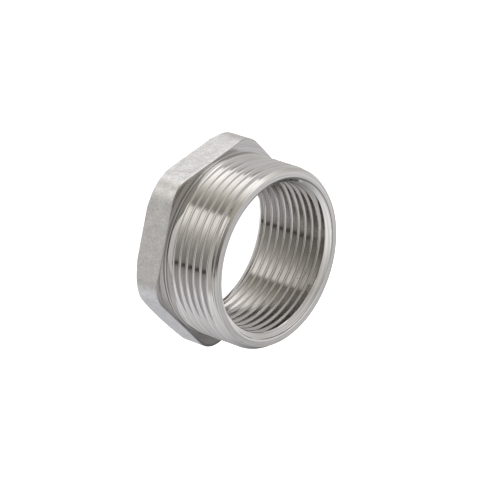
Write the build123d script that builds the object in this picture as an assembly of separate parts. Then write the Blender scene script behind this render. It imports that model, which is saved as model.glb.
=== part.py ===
from build123d import *
from math import atan, cos, degrees, radians, tan
import os

# Reducing hex bushing: a hexagon head with a threaded barrel on it and a
# threaded bore through both, cast and then turned as one piece.
# Z is the bore axis. The head stands on Z = 0 and the barrel points up.
# Two opposite corners of the head lie on X.

# threaded barrel
overall_length = 24.8
outer_thread_diameter = 47.8
lead_chamfer_length = 1.62
lead_chamfer_depth = 1.08

# threaded bore, set by the wall between its crests and the barrel's crests
wall_between_threads = 4.43
bore_mouth_depth = 1.53
bore_mouth_angle = 45.0

# hexagon head, set by how far its flats stand out from the barrel
flat_stand_out = 0.8
hex_height = 8.35
hex_corner_radius = 7.2
hex_end_edge_chamfer = 0.5

# relief turned between the head and the thread
relief_width = 0.5
relief_depth = 0.7

# thread form: right hand, V grooves with flat crests between them
thread_pitch = 2.309
groove_depth = 1.1
groove_width = 1.65

# the outer groove starts this far above the relief, after fading in
outer_groove_lead = 1.55
outer_groove_angle = -131.0
fade_turns = 0.15
inner_groove_angle = 165.0

hex_across_flats = outer_thread_diameter + 2 * flat_stand_out
outer_crest = outer_thread_diameter / 2
outer_root = outer_crest - groove_depth
inner_crest = outer_crest - wall_between_threads
inner_root = inner_crest + groove_depth
bore_mouth = inner_crest + bore_mouth_depth * tan(radians(bore_mouth_angle))
relief_top = hex_height + relief_width
outer_groove_height = relief_top + outer_groove_lead
overrun = 2 * thread_pitch


def ring_solid(*points):
    """Solid turned about Z from a closed outline of (radius, height) points."""
    return revolve(Plane.XZ * make_face(Polyline(*points, close=True)), Axis.Z)


def long_blank():
    """Head and barrel, bored through and left long at both ends."""
    outline = RegularPolygon(hex_across_flats / 2, 6, major_radius=False)
    outline = fillet(outline.vertices(), hex_corner_radius)
    head = Pos(0, 0, -overrun) * extrude(outline, hex_height + overrun)

    relief_radius = outer_crest - relief_depth
    end = overall_length + overrun
    barrel = ring_solid(
        (0, 0),
        (relief_radius, 0),
        (relief_radius, relief_top),
        (outer_crest, relief_top),
        (outer_crest, end),
        (0, end),
    )

    bore = Pos(0, 0, -overrun) * extrude(Circle(inner_crest), end + overrun)
    return head + barrel - bore


def groove_section(crest, root):
    """V drawn beside the axis, from its root out past the crest."""
    reach = 1.25 * (crest - root)
    half_width = 1.25 * groove_width / 2
    outline = Polyline(
        (root, 0),
        (root + reach, half_width),
        (root + reach, -half_width),
        close=True,
    )
    return Plane.XZ * make_face(outline)


def helical_groove(crest, root, turns):
    path = Helix(thread_pitch, turns * thread_pitch, crest)
    return sweep(groove_section(crest, root), path=path, is_frenet=True)


def fading_groove(crest, root):
    """Start of an outer groove: it climbs out of the wall as it winds down."""
    drop = fade_turns * thread_pitch
    climb = 1.3 * (crest - root)
    cone = atan(climb / drop)
    path = Helix(thread_pitch / cos(cone), drop, crest, cone_angle=degrees(cone))
    return sweep(groove_section(crest, root), path=Rot(180, 0, 0) * path, is_frenet=True)


def end_trims():
    """What is turned off both ends: the faces, bore mouths and lead chamfer."""
    cone_height = bore_mouth / tan(radians(bore_mouth_angle))
    land = outer_crest - lead_chamfer_depth
    taper = lead_chamfer_depth / lead_chamfer_length
    skirt = lead_chamfer_length / 2
    clear = hex_across_flats
    top = overall_length + 2 * overrun
    upper = ring_solid(
        (0, overall_length - cone_height),
        (bore_mouth, overall_length),
        (land, overall_length),
        (outer_crest + skirt * taper, overall_length - lead_chamfer_length - skirt),
        (outer_crest + skirt * taper, top),
        (0, top),
    )
    lower = ring_solid(
        (0, cone_height),
        (bore_mouth, 0),
        (clear, 0),
        (clear, -2 * overrun),
        (0, -2 * overrun),
    )
    return upper, lower


def bushing():
    outer_turns = (overall_length + overrun / 2 - outer_groove_height) / thread_pitch
    inner_turns = (overall_length + 1.5 * overrun) / thread_pitch
    outer_start = Pos(0, 0, outer_groove_height) * Rot(0, 0, outer_groove_angle)
    inner_start = Pos(0, 0, -0.75 * overrun) * Rot(0, 0, inner_groove_angle)

    body = long_blank()
    body -= outer_start * helical_groove(outer_crest, outer_root, outer_turns)
    body -= outer_start * fading_groove(outer_crest, outer_root)
    body -= inner_start * helical_groove(inner_crest, inner_root, inner_turns)
    for trim in end_trims():
        body -= trim

    end_face = body.faces().sort_by(Axis.Z)[0]
    return chamfer(end_face.outer_wire().edges(), hex_end_edge_chamfer)


os.makedirs("parts", exist_ok=True)
export_step(bushing(), "parts/bushing_body.step")
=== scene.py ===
from math import atan2, cos, floor, pi, radians, sin, sqrt, tan

import bmesh
import bpy
from mathutils import Matrix, Vector


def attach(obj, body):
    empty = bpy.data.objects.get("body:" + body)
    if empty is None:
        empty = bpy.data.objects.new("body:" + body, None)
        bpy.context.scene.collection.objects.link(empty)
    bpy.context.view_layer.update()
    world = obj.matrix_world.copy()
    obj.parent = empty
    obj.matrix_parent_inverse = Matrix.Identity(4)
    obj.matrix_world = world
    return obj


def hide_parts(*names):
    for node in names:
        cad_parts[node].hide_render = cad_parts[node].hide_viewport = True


# A reducing hex bushing: one piece of bright corrosion-resistant steel.
# Lengths are in millimetres and become metres where they are put to use.
# Z is the bore axis, the head stands on Z = 0 and two of its corners lie on X.

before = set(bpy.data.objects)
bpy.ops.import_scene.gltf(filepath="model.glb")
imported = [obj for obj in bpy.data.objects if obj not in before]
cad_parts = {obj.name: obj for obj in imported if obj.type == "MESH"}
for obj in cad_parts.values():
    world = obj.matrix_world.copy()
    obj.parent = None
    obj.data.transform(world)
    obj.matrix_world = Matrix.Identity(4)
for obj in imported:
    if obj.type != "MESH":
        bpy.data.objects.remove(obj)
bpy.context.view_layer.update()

MILLIMETRE = 0.001

# hexagon head
HEX_ACROSS_FLATS = 49.4
HEX_HEIGHT = 8.35
HEX_CORNER_RADIUS = 7.2
HEX_END_CHAMFER_ANGLE = radians(30)
HEX_END_CHAMFER_RADIUS = 24.72
HEX_END_CHAMFER_OFFSET = 0.82
HEX_END_CHAMFER_LEAN = radians(35)
HEX_END_EDGE = 0.25
HEX_NEAR_EDGE_RADIUS = 0.15
SHOULDER_SLOPE = radians(3)
SHOULDER_LEVEL_RADIUS = 24.7
SHOULDER_RISE = 0.03

# barrel
OVERALL_LENGTH = 24.8
COLLAR_RADIUS = 23.8
SHOULDER_FILLET = 0.3
SHOULDER_FOOT = HEX_HEIGHT + SHOULDER_RISE
COLLAR_END = 9.1
COLLAR_EASING = 0.1
LEAD_CHAMFER_LENGTH = 1.62
LEAD_CHAMFER_DEPTH = 1.08
RIM_FEATHER_LENGTH = 0.6
RIM_FALL = 0.03
RIM_BREAK_RADIUS = 21.35
RIM_BREAK_REACH = 0.04
RIM_BREAK_DROP = 0.007
BORE_MOUTH_RADIUS = 21.0
BORE_MOUTH_DEPTH = 1.53
MOUTH_EDGE_DROP = 0.075

# 55 degree pipe thread with rounded crests and roots, right hand
PITCH = 2.309
THREAD_DEPTH = 1.479
FLANK_ANGLE = radians(27.5)
THREAD_ROUNDING = 0.317
OUTER_CREST = 23.9
OUTER_GROOVE_START = 10.4
OUTER_GROOVE_ANGLE = -131.0
OUTER_FADE_TURNS = 0.15
OUTER_FADE_RISE = 1.3 * THREAD_DEPTH
INNER_CREST = 19.471
INNER_GROOVE_HEIGHT = 4.235
INNER_GROOVE_ANGLE = 285.0

# mesh fineness
COLUMNS = 288
ARC_STEPS = 3
END_FACE_STEPS = 2
END_CHAMFER_STEPS = 5
FLAT_STEPS = 12
NEAR_EDGE_STEPS = 4
NEAR_FACE_STEPS = 4
FILLET_STEPS = 6
MERGE_DISTANCE = 0.002
SHARP_EDGE_ANGLE = radians(38)

# floor and camera
FLOOR_REACH = 6000.0
CAMERA_PLACE = (134.903, 621.460, 514.259)
CAMERA_RIGHT = (0.18704, -0.63930, 0.74587)
CAMERA_UP = (0.96808, -0.00899, -0.25047)
CAMERA_LENS = 229.96
CAMERA_SENSOR_WIDTH = 36.0
CAMERA_NEAREST = 10.0
CAMERA_FARTHEST = 50000.0


def thread_profile(offset):
    """Radial distance from the crest line at an axial offset from the middle of a groove."""
    side = abs(offset)
    half_pitch = PITCH / 2
    arc_reach = THREAD_ROUNDING * cos(FLANK_ANGLE)
    arc_depth = THREAD_ROUNDING * (1 - sin(FLANK_ANGLE))
    if side < arc_reach:
        rise = THREAD_ROUNDING - sqrt(THREAD_ROUNDING**2 - side**2)
        return THREAD_DEPTH - rise
    if side > half_pitch - arc_reach:
        from_crest = half_pitch - side
        return THREAD_ROUNDING - sqrt(THREAD_ROUNDING**2 - from_crest**2)
    return THREAD_DEPTH - arc_depth - (side - arc_reach) / tan(FLANK_ANGLE)


def thread_stations():
    """Axial offsets of the mesh rows over one pitch, from one groove's middle to the next."""
    arc = [
        THREAD_ROUNDING * sin((pi / 2 - FLANK_ANGLE) * step / ARC_STEPS)
        for step in range(ARC_STEPS + 1)
    ]
    half = arc + [PITCH / 2 - reach for reach in reversed(arc)]
    return half[:-1] + [PITCH - reach for reach in reversed(half[1:])]


def groove_offset(height, turns_up, groove_height, groove_turns):
    """Axial offset from the nearest groove, and how many turns that groove has climbed."""
    climbed = (height - groove_height) / PITCH - (turns_up - groove_turns)
    nearest = floor(climbed + 0.5)
    return (climbed - nearest) * PITCH, nearest + turns_up - groove_turns


def outer_radius(height, turns_up):
    """Radius of the threaded barrel at a height and an angle given in turns."""
    start_turns = OUTER_GROOVE_ANGLE / 360
    offset, climbed = groove_offset(height, turns_up, OUTER_GROOVE_START, start_turns)
    depth = thread_profile(offset)
    if climbed < 0:
        depth += OUTER_FADE_RISE * climbed / OUTER_FADE_TURNS
    chamfer_slope = LEAD_CHAMFER_DEPTH / LEAD_CHAMFER_LENGTH
    rim_radius = OUTER_CREST - LEAD_CHAMFER_DEPTH
    from_rim = OVERALL_LENGTH - height
    cone = rim_radius + from_rim * chamfer_slope
    root = OUTER_CREST - THREAD_DEPTH
    feather = rim_radius - (rim_radius - root) * min(from_rim / RIM_FEATHER_LENGTH, 1.0)
    return min(max(OUTER_CREST - max(depth, 0.0), feather), cone)


def inner_radius(height, turns_up):
    """Radius of the threaded bore at a height and an angle given in turns."""
    offset, climbed = groove_offset(
        height, turns_up, INNER_GROOVE_HEIGHT, INNER_GROOVE_ANGLE / 360
    )
    near_end = min(height, OVERALL_LENGTH - height)
    return max(INNER_CREST + thread_profile(offset), BORE_MOUTH_RADIUS - near_end)


def hexagon_radius(angle, inset):
    """Distance from the axis to the hexagon with rounded corners, drawn in by an inset."""
    apothem = HEX_ACROSS_FLATS / 2 - inset
    corner = HEX_CORNER_RADIUS - inset
    from_corner = abs((angle + pi / 6) % (pi / 3) - pi / 6)
    corner_centre = (apothem - corner) / cos(pi / 6)
    corner_end = atan2(corner * sin(pi / 6), corner_centre + corner * cos(pi / 6))
    if from_corner > corner_end:
        return apothem / cos(pi / 6 - from_corner)
    sideways = corner_centre * sin(from_corner)
    return corner_centre * cos(from_corner) + sqrt(corner**2 - sideways**2)


def column_angle(column):
    """Angle of a column of points round the axis, from +X."""
    return 2 * pi * column / COLUMNS


def head_row(inset, height):
    """One ring of points round the hexagon head."""
    return [
        (hexagon_radius(column_angle(column), inset), height)
        for column in range(COLUMNS)
    ]


def shoulder_row(inset, below):
    """A ring near the head's near edge, which sinks a little towards the corners."""
    row = []
    for radius, height in head_row(inset, HEX_HEIGHT - below):
        sunk = (radius - SHOULDER_LEVEL_RADIUS) * tan(SHOULDER_SLOPE)
        row.append((radius, height - sunk))
    return row


def end_chamfer_row(share):
    """A ring across the cone turned on the head's end corners, from the end face upwards."""
    row = []
    for column in range(COLUMNS):
        angle = column_angle(column)
        reach = hexagon_radius(angle, 0.0)
        lean = HEX_END_CHAMFER_OFFSET * cos(angle - HEX_END_CHAMFER_LEAN)
        cone_foot = HEX_END_CHAMFER_RADIUS + lean
        climb = (reach - cone_foot) * tan(HEX_END_CHAMFER_ANGLE)
        climb = max(climb, HEX_END_EDGE)
        drawn_in = climb * (1 - share) / tan(HEX_END_CHAMFER_ANGLE)
        row.append((reach - drawn_in, climb * share))
    return row


def round_row(radius, height):
    """One ring of points round a turned face."""
    return [(radius, height)] * COLUMNS


def blended_row(first, second, share):
    """A ring of points part of the way between two others."""
    return [
        (a[0] + (b[0] - a[0]) * share, a[1] + (b[1] - a[1]) * share)
        for a, b in zip(first, second)
    ]


def thread_rows(radius_at, low, high, groove_height, groove_angle):
    """Rows that climb with the thread, held between two heights."""
    stations = thread_stations()
    groove_turns = groove_angle / 360
    spare_turns = 2
    first_turn = floor((low - groove_height) / PITCH + groove_turns) - spare_turns
    last_turn = floor((high - groove_height) / PITCH + groove_turns) + spare_turns
    rows = []
    for turn in range(first_turn, last_turn):
        for station in stations:
            row = []
            for column in range(COLUMNS):
                turns_up = column / COLUMNS
                climb = turns_up - groove_turns
                height = groove_height + (turn + climb) * PITCH + station
                height = min(max(height, low), high)
                row.append((radius_at(height, turns_up), height))
            rows.append(row)
    return rows


def head_rows():
    """The head from the bore mouth at its end face, over the flats, to the fillet."""
    near_edge = HEX_NEAR_EDGE_RADIUS
    mouth = round_row(BORE_MOUTH_RADIUS, 0.0)
    end_face_edge = end_chamfer_row(0.0)
    rows = []
    for step in range(END_FACE_STEPS):
        rows.append(blended_row(mouth, end_face_edge, step / END_FACE_STEPS))
    rows.append(end_face_edge)
    for step in range(1, END_CHAMFER_STEPS + 1):
        rows.append(end_chamfer_row(step / END_CHAMFER_STEPS))
    flat_foot = rows[-1]
    flat_top = shoulder_row(0.0, near_edge)
    for step in range(1, FLAT_STEPS):
        rows.append(blended_row(flat_foot, flat_top, step / FLAT_STEPS))
    for step in range(NEAR_EDGE_STEPS + 1):
        swing = pi / 2 * step / NEAR_EDGE_STEPS
        inset = near_edge * (1 - cos(swing))
        rows.append(shoulder_row(inset, near_edge * (1 - sin(swing))))
    near_face_edge = rows[-1]
    shoulder = round_row(COLLAR_RADIUS + SHOULDER_FILLET, SHOULDER_FOOT)
    for step in range(1, NEAR_FACE_STEPS):
        rows.append(blended_row(near_face_edge, shoulder, step / NEAR_FACE_STEPS))
    return rows


def fillet_rows():
    """The fillet between the head and the barrel, and the short plain collar after it."""
    rows = []
    for step in range(FILLET_STEPS + 1):
        swing = pi / 2 * step / FILLET_STEPS
        radius = COLLAR_RADIUS + SHOULDER_FILLET * (1 - sin(swing))
        height = SHOULDER_FOOT + SHOULDER_FILLET * (1 - cos(swing))
        rows.append(round_row(radius, height))
    rows.append(round_row(COLLAR_RADIUS, COLLAR_END - COLLAR_EASING))
    return rows


def rim_rows():
    """Two rings that round the ridge where the barrel's end face turns down to the bore."""
    return [
        round_row(RIM_BREAK_RADIUS + RIM_BREAK_REACH, OVERALL_LENGTH),
        round_row(RIM_BREAK_RADIUS - RIM_BREAK_REACH, OVERALL_LENGTH - RIM_BREAK_DROP),
    ]


def row_partners(row_count, climbing):
    """The row that each row meets after a whole turn, which is one pitch on for a thread."""
    partners = list(range(row_count))
    shift = len(thread_stations())
    for first, last, way in climbing:
        for row in range(first, last):
            partners[row] = min(max(row + shift * way, first), last - 1)
    return partners


def skin_faces(partners):
    """Quads between the rows, closed round the axis through each row's partner."""
    row_count = len(partners)
    faces = []
    for row in range(row_count):
        above = (row + 1) % row_count
        for column in range(COLUMNS):
            after = (column + 1) % COLUMNS
            low, high = row, above
            if after == 0:
                low, high = partners[row], partners[above]
            faces.append(
                (
                    row * COLUMNS + column,
                    low * COLUMNS + after,
                    high * COLUMNS + after,
                    above * COLUMNS + column,
                )
            )
    return faces


def skin_points(rows):
    """The points of every row in turn, in metres."""
    points = []
    for row in rows:
        for column, (radius, height) in enumerate(row):
            angle = column_angle(column)
            across = radius * cos(angle) * MILLIMETRE
            along = radius * sin(angle) * MILLIMETRE
            points.append((across, along, height * MILLIMETRE))
    return points


def build_bushing(turned, cast, shoulder, bored):
    """The bushing's whole skin as one closed mesh with a climbing grid on both threads."""
    head = head_rows()
    fillet = fillet_rows()
    outer = thread_rows(
        outer_radius,
        COLLAR_END,
        OVERALL_LENGTH - RIM_FALL,
        OUTER_GROOVE_START,
        OUTER_GROOVE_ANGLE,
    )
    rim = rim_rows()
    inner = thread_rows(
        inner_radius,
        0.0,
        OVERALL_LENGTH - MOUTH_EDGE_DROP,
        INNER_GROOVE_HEIGHT,
        INNER_GROOVE_ANGLE,
    )
    rows = head + fillet + outer + rim + inner[::-1]
    outer_first = len(head) + len(fillet)
    rim_first = outer_first + len(outer)
    inner_first = rim_first + len(rim)
    climbing = [(outer_first, rim_first, 1), (inner_first, len(rows), -1)]
    partners = row_partners(len(rows), climbing)
    mesh = bpy.data.meshes.new("bushing")
    mesh.from_pydata(skin_points(rows), [], skin_faces(partners))

    # the end face, the rim, the outer thread and both mouths stay bright from turning; the
    # head's near edge and face, the fillet and the collar take a darker copy of the turned
    # steel, which is painted shade
    finishes = [turned, cast, shoulder, bored]
    for finish in finishes:
        mesh.materials.append(finish)
    cast_first = END_FACE_STEPS
    shoulder_first = len(head) - NEAR_EDGE_STEPS - NEAR_FACE_STEPS
    for polygon in mesh.polygons:
        row = polygon.index // COLUMNS
        height = polygon.center.z / MILLIMETRE
        from_end = min(height, OVERALL_LENGTH - height)
        finish = turned
        if cast_first <= row < shoulder_first:
            finish = cast
        # the near edge and face, the fillet and the collar: darker steel as painted shade
        elif shoulder_first <= row < outer_first:
            finish = shoulder
        elif row >= inner_first and from_end > BORE_MOUTH_DEPTH:
            finish = bored
        polygon.material_index = finishes.index(finish)

    # rows held at a thread's ends lie on each other, and are merged
    edit = bmesh.new()
    edit.from_mesh(mesh)
    bmesh.ops.remove_doubles(edit, verts=edit.verts, dist=MERGE_DISTANCE * MILLIMETRE)
    bmesh.ops.recalc_face_normals(edit, faces=edit.faces)
    edit.to_mesh(mesh)
    edit.free()

    mesh.shade_smooth()
    mesh.set_sharp_from_angle(angle=SHARP_EDGE_ANGLE)
    bushing = bpy.data.objects.new("bushing", mesh)
    bpy.context.collection.objects.link(bushing)
    weights = bushing.modifiers.new("face_weighted_normals", "WEIGHTED_NORMAL")
    weights.keep_sharp = True
    return bushing


def node(tree, kind, inputs=None, **settings):
    """A shader node with its settings and, by name, its plain input values."""
    made = tree.nodes.new(kind)
    for name, value in settings.items():
        setattr(made, name, value)
    for socket, value in (inputs or {}).items():
        made.inputs[socket].default_value = value
    return made


def math_node(tree, operation, first, second=None):
    """A Math node. Each operand is a socket to join or a plain number."""
    made = node(tree, "ShaderNodeMath", operation=operation)
    for place, operand in enumerate((first, second)):
        if operand is None:
            continue
        if isinstance(operand, (int, float)):
            made.inputs[place].default_value = operand
        else:
            tree.links.new(operand, made.inputs[place])
    return made.outputs[0]


def effect_group(name, inputs, outputs):
    """An empty node group with named number inputs and outputs."""
    group = bpy.data.node_groups.new(name, "ShaderNodeTree")
    for label, value in inputs:
        socket = group.interface.new_socket(
            name=label, in_out="INPUT", socket_type="NodeSocketFloat"
        )
        socket.default_value = value
    for label in outputs:
        group.interface.new_socket(
            name=label, in_out="OUTPUT", socket_type="NodeSocketFloat"
        )
    entry = node(group, "NodeGroupInput")
    leave = node(group, "NodeGroupOutput")
    return group, entry, leave


def place_group(tree, group, values):
    """A node group placed in a material with its own values."""
    placed = node(tree, "ShaderNodeGroup", node_tree=group)
    for label, value in values.items():
        placed.inputs[label].default_value = value
    return placed


# Sockets that say how close the marks lie give them to the metre.


def turning_marks():
    """Fine rings left by the cutting tool, as a height and a broken-up mask.

    The rings follow height less the radius times Lean, so that walls and faces both
    get them, and Wander breaks them up on the way round.
    """
    group, entry, leave = effect_group(
        "turning_marks",
        [("Rings", 9000.0), ("Lean", 1.7), ("Wander", 150.0)],
        ["Height", "Streaks"],
    )
    place = node(group, "ShaderNodeTexCoord")
    parts = node(group, "ShaderNodeSeparateXYZ")
    group.links.new(place.outputs["Object"], parts.inputs[0])
    across, along, height = parts.outputs
    radius_squared = math_node(
        group,
        "ADD",
        math_node(group, "MULTIPLY", across, across),
        math_node(group, "MULTIPLY", along, along),
    )
    radius = math_node(group, "SQRT", radius_squared)
    leaning = math_node(group, "MULTIPLY", radius, entry.outputs["Lean"])
    section = math_node(group, "SUBTRACT", height, leaning)
    rings = math_node(group, "MULTIPLY", section, entry.outputs["Rings"])
    line = node(group, "ShaderNodeCombineXYZ")
    group.links.new(rings, line.inputs[0])
    wander_x = math_node(group, "MULTIPLY", across, entry.outputs["Wander"])
    wander_y = math_node(group, "MULTIPLY", along, entry.outputs["Wander"])
    group.links.new(wander_x, line.inputs[1])
    group.links.new(wander_y, line.inputs[2])
    marks = node(group, "ShaderNodeTexNoise", inputs={"Scale": 1.0, "Detail": 3.0})
    group.links.new(line.outputs[0], marks.inputs["Vector"])
    group.links.new(marks.outputs["Fac"], leave.inputs["Height"])
    streaks = node(group, "ShaderNodeTexNoise", inputs={"Scale": 0.35, "Detail": 4.0})
    group.links.new(line.outputs[0], streaks.inputs["Vector"])
    group.links.new(streaks.outputs["Fac"], leave.inputs["Streaks"])
    return group


def blasted_grain():
    """Cast skin after blasting: close grain over wider swells."""
    group, entry, leave = effect_group(
        "blasted_grain", [("Grain", 1500.0), ("Swell", 420.0)], ["Height", "Mottle"]
    )
    place = node(group, "ShaderNodeTexCoord")
    grain = node(group, "ShaderNodeTexNoise", inputs={"Detail": 3.0, "Roughness": 0.6})
    swell = node(group, "ShaderNodeTexNoise", inputs={"Detail": 2.0, "Roughness": 0.5})
    for texture, count in ((grain, "Grain"), (swell, "Swell")):
        group.links.new(place.outputs["Object"], texture.inputs["Vector"])
        group.links.new(entry.outputs[count], texture.inputs["Scale"])
    swell_height = 2.0
    wide = math_node(group, "MULTIPLY", swell.outputs["Fac"], swell_height)
    height = math_node(group, "ADD", grain.outputs["Fac"], wide)
    group.links.new(height, leave.inputs["Height"])
    grain_share = 0.7
    close = math_node(group, "MULTIPLY", grain.outputs["Fac"], grain_share)
    spread = math_node(group, "MULTIPLY", swell.outputs["Fac"], 1 - grain_share)
    mottle = math_node(group, "ADD", close, spread)
    group.links.new(mottle, leave.inputs["Mottle"])
    return group


def bore_darkening_group():
    """How much darker the colour gets, growing with height above the end face and broken up.
    """
    group, entry, leave = effect_group(
        "bore_darkening_group",
        [("Start", 0.002), ("Finish", 0.020), ("Blotches", 500.0)],
        ["Darkening"],
    )
    place = node(group, "ShaderNodeTexCoord")
    parts = node(group, "ShaderNodeSeparateXYZ")
    group.links.new(place.outputs["Object"], parts.inputs[0])
    climb = node(group, "ShaderNodeMapRange")
    group.links.new(parts.outputs[2], climb.inputs["Value"])
    group.links.new(entry.outputs["Start"], climb.inputs["From Min"])
    group.links.new(entry.outputs["Finish"], climb.inputs["From Max"])
    blotches = node(group, "ShaderNodeTexNoise", inputs={"Detail": 3.0})
    group.links.new(place.outputs["Object"], blotches.inputs["Vector"])
    group.links.new(entry.outputs["Blotches"], blotches.inputs["Scale"])
    noise_middle = 0.5
    uneven = math_node(group, "ADD", blotches.outputs["Fac"], 1 - noise_middle)
    darkening = math_node(group, "MULTIPLY", climb.outputs["Result"], uneven)
    group.links.new(darkening, leave.inputs["Darkening"])
    return group


def pitting():
    """A few small dark pits scattered over the surface, as a mask."""
    group, entry, leave = effect_group(
        "pitting", [("Density", 260.0), ("Pit Size", 0.05)], ["Pits"]
    )
    place = node(group, "ShaderNodeTexCoord")
    cells = node(group, "ShaderNodeTexVoronoi")
    group.links.new(place.outputs["Object"], cells.inputs["Vector"])
    group.links.new(entry.outputs["Density"], cells.inputs["Scale"])
    distance = cells.outputs["Distance"]
    across_pit = math_node(group, "DIVIDE", distance, entry.outputs["Pit Size"])
    wall = node(
        group,
        "ShaderNodeMapRange",
        inputs={"From Min": 0.6, "From Max": 1.0, "To Min": 1.0, "To Max": 0.0},
    )
    group.links.new(across_pit, wall.inputs["Value"])
    group.links.new(wall.outputs["Result"], leave.inputs["Pits"])
    return group


def lay_over(tree, colour, tone, mask):
    """A tone laid over a colour where a mask is full. The colour is a socket or a tone."""
    mix = node(tree, "ShaderNodeMix", data_type="RGBA")
    mix.inputs["B"].default_value = (*tone, 1.0)
    if isinstance(colour, tuple):
        mix.inputs["A"].default_value = (*colour, 1.0)
    else:
        tree.links.new(colour, mix.inputs["A"])
    tree.links.new(mask, mix.inputs["Factor"])
    return mix.outputs["Result"]


def steel(name, roughness, marks, relief, tones, stains):
    """Bare steel with fine relief, whose tone follows the marks left on it.

    marks is an effect group, its values and the mask that the tone follows. relief is
    the strength of the marks' bump and its height. tones are the steel's own, where the
    mask is low and where it is high. Each stain, or other darker tone, is an effect group,
    its values, its mask and its tone, laid over what is there already.
    """
    material = bpy.data.materials.new(name)
    material.use_nodes = True
    tree = material.node_tree
    shader = tree.nodes["Principled BSDF"]
    shader.inputs["Metallic"].default_value = 1.0
    shader.inputs["Roughness"].default_value = roughness

    group, values, mask = marks
    effect = place_group(tree, group, values)
    low_tone, high_tone = tones
    # the masks are noise, which seldom passes these two
    spread = node(tree, "ShaderNodeMapRange", inputs={"From Min": 0.3, "From Max": 0.7})
    tree.links.new(effect.outputs[mask], spread.inputs["Value"])
    colour = lay_over(tree, low_tone, high_tone, spread.outputs["Result"])
    for group, values, mask, tone in stains:
        stain = place_group(tree, group, values)
        colour = lay_over(tree, colour, tone, stain.outputs[mask])
    tree.links.new(colour, shader.inputs["Base Color"])

    strength, height = relief
    bump = node(
        tree,
        "ShaderNodeBump",
        inputs={"Strength": strength, "Distance": height * MILLIMETRE},
    )
    tree.links.new(effect.outputs["Height"], bump.inputs["Height"])
    tree.links.new(bump.outputs["Normal"], shader.inputs["Normal"])
    return material


def build_floor():
    """A plain pale floor, far wider than the view."""
    reach = FLOOR_REACH * MILLIMETRE
    mesh = bpy.data.meshes.new("floor")
    mesh.from_pydata(
        [(-reach, -reach, 0), (reach, -reach, 0), (reach, reach, 0), (-reach, reach, 0)],
        [],
        [(0, 1, 2, 3)],
    )
    material = bpy.data.materials.new("floor_white")
    material.use_nodes = True
    shader = material.node_tree.nodes["Principled BSDF"]
    shader.inputs["Base Color"].default_value = (0.9, 0.9, 0.9, 1.0)
    shader.inputs["Roughness"].default_value = 0.9
    shader.inputs["Emission Color"].default_value = (1.0, 1.0, 1.0, 1.0)
    shader.inputs["Emission Strength"].default_value = 1.0
    mesh.materials.append(material)
    sheet = bpy.data.objects.new("floor", mesh)
    bpy.context.collection.objects.link(sheet)
    return sheet


def place_camera():
    """A long lens looking down on the rim, rolled so that the axis lies to the side."""
    position = Vector(CAMERA_PLACE) * MILLIMETRE
    right = Vector(CAMERA_RIGHT)
    up = Vector(CAMERA_UP)
    back = right.cross(up).normalized()
    right = up.cross(back).normalized()
    up = back.cross(right)
    lens = bpy.data.cameras.new("camera")
    lens.lens = CAMERA_LENS
    lens.sensor_width = CAMERA_SENSOR_WIDTH
    lens.clip_start = CAMERA_NEAREST * MILLIMETRE
    lens.clip_end = CAMERA_FARTHEST * MILLIMETRE
    camera = bpy.data.objects.new("camera", lens)
    turn = Matrix((right, up, back)).transposed().to_4x4()
    camera.matrix_world = Matrix.Translation(position) @ turn
    bpy.context.collection.objects.link(camera)
    bpy.context.scene.camera = camera


# How bright the studio is all round, in bands from underneath to overhead. Each light is
# (degrees round Z from +X, level on a screen's scale, warmth).
GROUND_LIGHTS = [
    (-180, 0.92, -0.3),
    (-165, 0.84, -0.2),
    (-152, 0.76, -0.2),
    (-140, 0.82, -0.3),
    (-130, 0.85, -0.2),
    (-100, 0.90, 0.0),
    (-78, 0.90, 0.0),
    (-66, 0.84, 0.1),
    (-50, 0.78, 0.2),
    (-30, 0.86, 0.1),
    (-18, 0.93, 0.1),
    (0, 0.91, 0.1),
    (12, 0.91, 0.2),
    (24, 0.89, 0.3),
    (38, 0.85, 0.4),
    (50, 0.92, 0.3),
    (60, 0.95, 0.2),
    (72, 0.90, 0.2),
    (84, 0.83, 0.3),
    (98, 0.80, 0.3),
    (112, 0.80, 0.3),
    (126, 0.80, 0.2),
    (145, 0.85, -0.1),
    (165, 0.92, -0.3),
    (180, 0.92, -0.3),
]
LOW_LIGHTS = [
    (-180, 0.88, -0.5),
    (-165, 0.80, -0.5),
    (-150, 0.72, -0.4),
    (-135, 0.68, -0.2),
    (-120, 0.68, 0.0),
    (-90, 0.90, 0.0),
    (-66, 0.80, 0.1),
    (-48, 0.78, 0.2),
    (-30, 0.80, 0.3),
    (-16, 0.80, 0.3),
    (-12.5, 0.90, 0.2),
    (-9, 1.33, 0.0),
    (4, 1.34, 0.1),
    (12, 1.24, 0.2),
    (20, 1.07, 0.4),
    (28, 0.88, 0.8),
    (36, 0.74, 1.0),
    (44, 0.64, 1.0),
    (48.8, 0.62, 1.0),
    (49.8, 1.18, 0.4),
    (60, 1.20, 0.2),
    (68, 1.13, 0.3),
    (76, 0.96, 0.4),
    (84, 0.82, 0.5),
    (100, 0.67, 0.5),
    (114, 0.62, 0.5),
    (117.7, 0.60, 0.5),
    (118.3, 0.03, 0.5),
    (121.7, 0.03, 0.5),
    (122.5, 0.62, 0.5),
    (134, 0.74, 0.0),
    (160, 0.76, -0.6),
]
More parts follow.
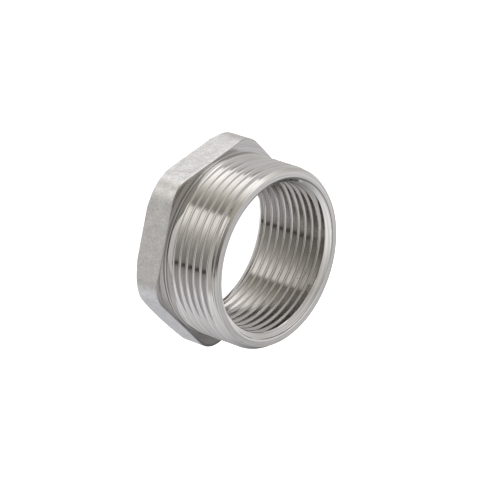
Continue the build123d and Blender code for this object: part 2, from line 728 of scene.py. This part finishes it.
SIDE_LIGHTS = [
    (-180, 0.79, -0.2),
    (-163, 0.84, -0.2),
    (-150, 0.75, -0.2),
    (-126, 0.48, 0.0),
    (-107.6, 0.48, 0.0),
    (-106, 0.84, 0.0),
    (-103, 0.79, 0.0),
    (-100, 0.81, 0.0),
    (-96, 0.96, -0.2),
    (-84, 0.96, 0.0),
    (-62, 0.82, 0.1),
    (-46, 0.78, 0.2),
    (-30, 0.86, 0.3),
    (-14, 0.97, 0.2),
    (-6, 1.12, 0.1),
    (3, 1.12, 0.2),
    (13, 0.99, 0.3),
    (24, 0.86, 0.5),
    (29, 0.76, 0.8),
    (46, 0.72, 0.8),
    (58, 0.66, 0.6),
    (68, 0.55, 0.8),
    (88, 0.41, 0.8),
    (98, 0.36, 0.8),
    (107, 0.36, 0.6),
    (112, 0.50, 0.4),
    (116, 0.62, 0.4),
    (126, 0.82, 0.3),
    (132, 0.83, 0.1),
    (142, 0.77, -0.4),
    (164, 0.82, -0.4),
]
# The middle band is the side one again, with brighter panels round -X.
MIDDLE_LIGHTS = [
    (-180, 1.03, -0.3),
    (-164, 0.90, -0.3),
    (-150, 0.80, -0.2),
    *(light for light in SIDE_LIGHTS if abs(light[0]) < 135),
    (153, 0.80, -0.4),
    (163, 0.86, -0.4),
    (173, 1.00, -0.4),
]
HIGH_LIGHTS = [
    (-180, 0.98, 0.0),
    (-160, 0.86, 0.0),
    (-140, 0.74, 0.0),
    (-125, 0.48, 0.0),
    (-107.6, 0.48, 0.0),
    (-106, 0.84, 0.0),
    (-103, 0.79, 0.0),
    (-100, 0.81, 0.0),
    (-96, 0.96, -0.2),
    (-60, 0.80, 0.0),
    (-20, 0.82, 0.1),
    (15, 0.80, 0.2),
    (45, 0.76, 0.4),
    (61, 0.80, 0.3),
    (85, 0.80, 0.2),
    (105, 0.86, 0.1),
    (125, 0.96, 0.0),
    (145, 1.00, 0.0),
    (165, 1.02, 0.0),
]
ZENITH_LEVEL = 0.74
ZENITH_WARMTH = 0.3
WARM_TINT = (1.04, 1.0, 0.87)
SCREEN_GAMMA = 2.2

# Where one band blends into the next, as the Z of a unit direction.
LOW_BLEND = (-0.60, -0.53)
SIDE_BLEND = (-0.03, 0.05)
MIDDLE_BLEND = (0.22, 0.28)
HIGH_BLEND = (0.48, 0.58)
ZENITH_BLEND = (0.86, 0.90)


def seen_light(level, warmth):
    """Colour of a light from its level on a screen's scale and how warm it is."""
    strength = level**SCREEN_GAMMA
    tinted = [strength * (1 + (part - 1) * warmth) for part in WARM_TINT]
    return (*tinted, 1.0)


def light_ramp(tree, degrees_round, lights):
    """Lights laid out all round, each blended into the next."""
    share = node(tree, "ShaderNodeMapRange", inputs={"From Min": -180, "From Max": 180})
    tree.links.new(degrees_round, share.inputs["Value"])
    ramp = node(tree, "ShaderNodeValToRGB")
    elements = ramp.color_ramp.elements
    while len(elements) < len(lights):
        elements.new(0.5)
    for element, (degrees, level, warmth) in zip(elements, lights):
        element.position = (degrees + 180) / 360
        element.color = seen_light(level, warmth)
    tree.links.new(share.outputs["Result"], ramp.inputs["Fac"])
    return ramp.outputs["Color"]


def blend_lights(tree, height, blend, below, above):
    """One set of lights under a blend's heights and another over them."""
    low, high = blend
    share = node(tree, "ShaderNodeMapRange", inputs={"From Min": low, "From Max": high})
    tree.links.new(height, share.inputs["Value"])
    mix = node(tree, "ShaderNodeMix", data_type="RGBA")
    tree.links.new(share.outputs["Result"], mix.inputs["Factor"])
    tree.links.new(below, mix.inputs["A"])
    tree.links.new(above, mix.inputs["B"])
    return mix.outputs["Result"]


def light_studio():
    """Soft light from all round, in bands of pale panels from underneath to overhead."""
    world = bpy.data.worlds.new("studio")
    world.use_nodes = True
    tree = world.node_tree
    place = node(tree, "ShaderNodeTexCoord")
    parts = node(tree, "ShaderNodeSeparateXYZ")
    tree.links.new(place.outputs["Generated"], parts.inputs[0])
    across, along, height = parts.outputs
    turn = math_node(tree, "ARCTAN2", along, across)
    degrees_round = math_node(tree, "MULTIPLY", turn, 180 / pi)
    whole = light_ramp(tree, degrees_round, GROUND_LIGHTS)
    bands = [
        (LOW_BLEND, LOW_LIGHTS),
        (SIDE_BLEND, SIDE_LIGHTS),
        (MIDDLE_BLEND, MIDDLE_LIGHTS),
        (HIGH_BLEND, HIGH_LIGHTS),
    ]
    for blend, lights in bands:
        band = light_ramp(tree, degrees_round, lights)
        whole = blend_lights(tree, height, blend, whole, band)
    zenith = node(tree, "ShaderNodeRGB")
    zenith.outputs[0].default_value = seen_light(ZENITH_LEVEL, ZENITH_WARMTH)
    whole = blend_lights(tree, height, ZENITH_BLEND, whole, zenith.outputs[0])
    tree.links.new(whole, tree.nodes["Background"].inputs["Color"])
    bpy.context.scene.world = world


tool_rings = (
    turning_marks(),
    {"Rings": 9000.0, "Lean": 1.7, "Wander": 150.0},
    "Streaks",
)
cast_skin = (
    blasted_grain(),
    {"Grain": 1500.0, "Swell": 420.0},
    "Mottle",
)
# the bored thread's colour darker the higher it lies above the head's end face
darker_bore_tone = (
    bore_darkening_group(),
    {"Start": 2 * MILLIMETRE, "Finish": 20 * MILLIMETRE, "Blotches": 500.0},
    "Darkening",
    (0.54, 0.52, 0.50),
)
dark_pits = (
    pitting(),
    {"Density": 260.0, "Pit Size": 0.05},
    "Pits",
    (0.17, 0.155, 0.14),
)

turned_steel = steel(
    "turned_steel",
    roughness=0.09,
    marks=tool_rings,
    relief=(0.5, 0.008),
    tones=((0.592, 0.575, 0.563), (0.833, 0.809, 0.797)),
    stains=[dark_pits],
)
# a darker copy of the turned steel: painted shade on the head's near edge and face, the
# fillet and the collar
shoulder_steel_painted_shade = steel(
    "shoulder_steel_painted_shade",
    roughness=0.12,
    marks=tool_rings,
    relief=(0.6, 0.010),
    tones=((0.455, 0.437, 0.428), (0.605, 0.585, 0.573)),
    stains=[dark_pits],
)
bored_steel = steel(
    "bored_steel",
    roughness=0.10,
    marks=tool_rings,
    relief=(0.6, 0.008),
    tones=((0.582, 0.56, 0.547), (0.803, 0.78, 0.767)),
    stains=[darker_bore_tone, dark_pits],
)
cast_steel = steel(
    "cast_steel",
    roughness=0.36,
    marks=cast_skin,
    relief=(0.6, 0.12),
    tones=((0.625, 0.612, 0.608), (0.89, 0.875, 0.87)),
    stains=[dark_pits],
)

bushing = build_bushing(turned_steel, cast_steel, shoulder_steel_painted_shade, bored_steel)
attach(bushing, "root")
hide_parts("bushing_body")

floor_sheet = build_floor()
# the steel mirrors the studio, not the floor
floor_sheet.visible_glossy = False
place_camera()
light_studio()
bpy.context.scene.view_settings.view_transform = "Standard"

bpy.context.view_layer.update()
